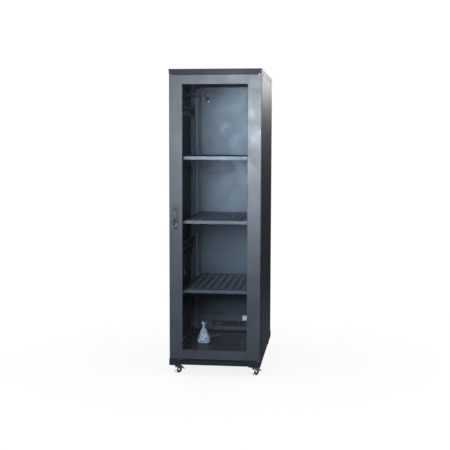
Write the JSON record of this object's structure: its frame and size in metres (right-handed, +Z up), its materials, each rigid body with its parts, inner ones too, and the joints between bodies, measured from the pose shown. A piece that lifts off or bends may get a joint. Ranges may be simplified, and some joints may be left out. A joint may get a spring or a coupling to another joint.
{
  "type": "network server rack cabinet",
  "caption": "Floor-standing 19 inch network cabinet on casters, with a glass front door, swing handle, steel rear door, slotted shelves and roof fans.",
  "frame": {"origin": "on the floor, below the middle of the cabinet", "axes": "+Z up, +X to the right seen from the front, the front door faces -Y"},
  "size_m": [0.6062, 1.024, 1.995],
  "materials": {
    "cabinet_paint": "semi-gloss fine-texture powder coat, very dark blue-grey",
    "rail_paint": "semi-gloss powder coat",
    "shelf_paint": "fine-texture powder coat",
    "black_rubber": "matte",
    "black_plastic": "fine-grain moulded",
    "zinc": "bright zinc plate",
    "chrome": "polished",
    "glass": "toughened, clear with a grey tint",
    "caster_black": "black",
    "wheel_rubber": "grey non-marking tread",
    "brass": "satin",
    "earth_insulation": "yellow with a green stripe",
    "clear_bag": "thin clear film"
  },
  "bodies": {
    "cabinet": {"base_frame": "cabinet_paint", "base_floor": "shelf_paint", "floor_grommets": "black_rubber", "top_frame": "cabinet_paint", "top_cover": "cabinet_paint", "post_front_left": "cabinet_paint", "post_front_right": "cabinet_paint", "post_rear_left": "cabinet_paint", "post_rear_right": "cabinet_paint", "rail_front_left": "rail_paint", "rail_front_right": "rail_paint", "rail_rear_left": "rail_paint", "rail_rear_right": "rail_paint", "depth_beams": "cabinet_paint", "side_panel_left": "cabinet_paint", "side_panel_right": "cabinet_paint", "shelf_lower": "shelf_paint", "shelf_middle": "shelf_paint", "shelf_upper": "shelf_paint", "frame_screws": "zinc", "rear_lower_panel": "cabinet_paint", "hinge_pins": "zinc", "fan_tray": "cabinet_paint", "fan_frames": "black_plastic", "fan_guards": "chrome", "mains_gland": "black_rubber", "mains_cord": "black_rubber", "mains_hank": "black_rubber", "mains_plug": "black_plastic", "earth_stud": "brass", "earth_lead": "earth_insulation", "earth_ring": "zinc", "hardware_bag": "clear_bag", "caster_plates": "caster_black"},
    "front_door": {"door_frame": "cabinet_paint", "door_glass": "glass", "glass_gasket": "black_rubber", "handle_body": "black_plastic", "lock_shell": "chrome"},
    "handle_spindle": {"lock_spindle": "zinc", "lock_cam": "zinc"},
    "handle_lever": {"handle_lever": "black_plastic"},
    "key_plug": {"key_plug": "chrome"},
    "rear_door": {"rear_door": "cabinet_paint", "rear_lock_shell": "chrome"},
    "rear_lock_cam": {"rear_lock_cam": "zinc"},
    "fan_rotor_left": {"fan_rotor_left": "black_plastic"},
    "fan_rotor_right": {"fan_rotor_right": "black_plastic"},
    "side_latch_left": {"side_latch_left": "black_plastic"},
    "side_latch_right": {"side_latch_right": "black_plastic"},
    "caster_fork_fl": {"caster_fork_fl": "zinc"},
    "caster_fork_fr": {"caster_fork_fr": "zinc"},
    "caster_fork_rl": {"caster_fork_rl": "zinc"},
    "caster_fork_rr": {"caster_fork_rr": "zinc"},
    "caster_wheel_fl": {"caster_wheel_fl": "wheel_rubber"},
    "caster_wheel_fr": {"caster_wheel_fr": "wheel_rubber"},
    "caster_wheel_rl": {"caster_wheel_rl": "wheel_rubber"},
    "caster_wheel_rr": {"caster_wheel_rr": "wheel_rubber"},
    "brake_pedal_fl": {"brake_pedal_fl": "chrome"},
    "brake_pedal_fr": {"brake_pedal_fr": "chrome"}
  },
  "joints": [
    {"name": "front_door_hinge", "type": "hinge", "parent": "cabinet", "child": "front_door", "pos_m": [0.286, -0.489, 1], "axis": [0, 0, 1], "range_deg": [0, 135]},
    {"name": "handle_turn", "type": "hinge", "parent": "front_door", "child": "handle_spindle", "pos_m": [-0.257, -0.5, 1.095], "axis": [0, -1, 0], "range_deg": [0, 90]},
    {"name": "handle_lift", "type": "hinge", "parent": "handle_spindle", "child": "handle_lever", "pos_m": [-0.257, -0.512, 1.095], "axis": [-1, 0, 0], "range_deg": [0, 35]},
    {"name": "key_turn", "type": "hinge", "parent": "front_door", "child": "key_plug", "pos_m": [-0.257, -0.5, 0.986], "axis": [0, 1, 0], "range_deg": [0, 90]},
    {"name": "rear_door_hinge", "type": "hinge", "parent": "cabinet", "child": "rear_door", "pos_m": [-0.286, 0.491, 1], "axis": [0, 0, 1], "range_deg": [0, 135]},
    {"name": "rear_lock_turn", "type": "hinge", "parent": "rear_door", "child": "rear_lock_cam", "pos_m": [0.257, 0.5, 1.065], "axis": [0, 1, 0], "range_deg": [0, 90]},
    {"name": "fan_left_spin", "type": "hinge", "parent": "cabinet", "child": "fan_rotor_left", "pos_m": [-0.09, 0, 1.961], "axis": [0, 0, 1], "continuous": true},
    {"name": "fan_right_spin", "type": "hinge", "parent": "cabinet", "child": "fan_rotor_right", "pos_m": [0.09, 0, 1.961], "axis": [0, 0, 1], "continuous": true},
    {"name": "side_latch_left_slide", "type": "slide", "parent": "cabinet", "child": "side_latch_left", "axis": [0, 0, -1], "range_m": [0, 0.008], "stiffness_N_per_m": 400, "springref_m": -0.004},
    {"name": "side_latch_right_slide", "type": "slide", "parent": "cabinet", "child": "side_latch_right", "axis": [0, 0, -1], "range_m": [0, 0.008], "stiffness_N_per_m": 400, "springref_m": -0.004},
    {"name": "swivel_fl", "type": "hinge", "parent": "cabinet", "child": "caster_fork_fl", "pos_m": [-0.257, -0.45, 0.055], "axis": [0, 0, 1], "continuous": true},
    {"name": "wheel_fl", "type": "hinge", "parent": "caster_fork_fl", "child": "caster_wheel_fl", "pos_m": [-0.24852, -0.44151, 0.025], "axis": [-0.7071, 0.7071, 0], "continuous": true},
    {"name": "brake_fl", "type": "hinge", "parent": "caster_fork_fl", "child": "brake_pedal_fl", "pos_m": [-0.23579, -0.42879, 0.046], "axis": [0.7071, -0.7071, 0], "range_deg": [0, 25]},
    {"name": "swivel_fr", "type": "hinge", "parent": "cabinet", "child": "caster_fork_fr", "pos_m": [0.257, -0.45, 0.055], "axis": [0, 0, 1], "continuous": true},
    {"name": "wheel_fr", "type": "hinge", "parent": "caster_fork_fr", "child": "caster_wheel_fr", "pos_m": [0.26549, -0.44151, 0.025], "axis": [-0.7071, 0.7071, 0], "continuous": true},
    {"name": "brake_fr", "type": "hinge", "parent": "caster_fork_fr", "child": "brake_pedal_fr", "pos_m": [0.27821, -0.42879, 0.046], "axis": [0.7071, -0.7071, 0], "range_deg": [0, 25]},
    {"name": "swivel_rl", "type": "hinge", "parent": "cabinet", "child": "caster_fork_rl", "pos_m": [-0.257, 0.45, 0.055], "axis": [0, 0, 1], "continuous": true},
    {"name": "wheel_rl", "type": "hinge", "parent": "caster_fork_rl", "child": "caster_wheel_rl", "pos_m": [-0.24852, 0.45848, 0.025], "axis": [-0.7071, 0.7071, 0], "continuous": true},
    {"name": "swivel_rr", "type": "hinge", "parent": "cabinet", "child": "caster_fork_rr", "pos_m": [0.257, 0.45, 0.055], "axis": [0, 0, 1], "continuous": true},
    {"name": "wheel_rr", "type": "hinge", "parent": "caster_fork_rr", "child": "caster_wheel_rr", "pos_m": [0.26549, 0.45848, 0.025], "axis": [-0.7071, 0.7071, 0], "continuous": true}
  ]
}
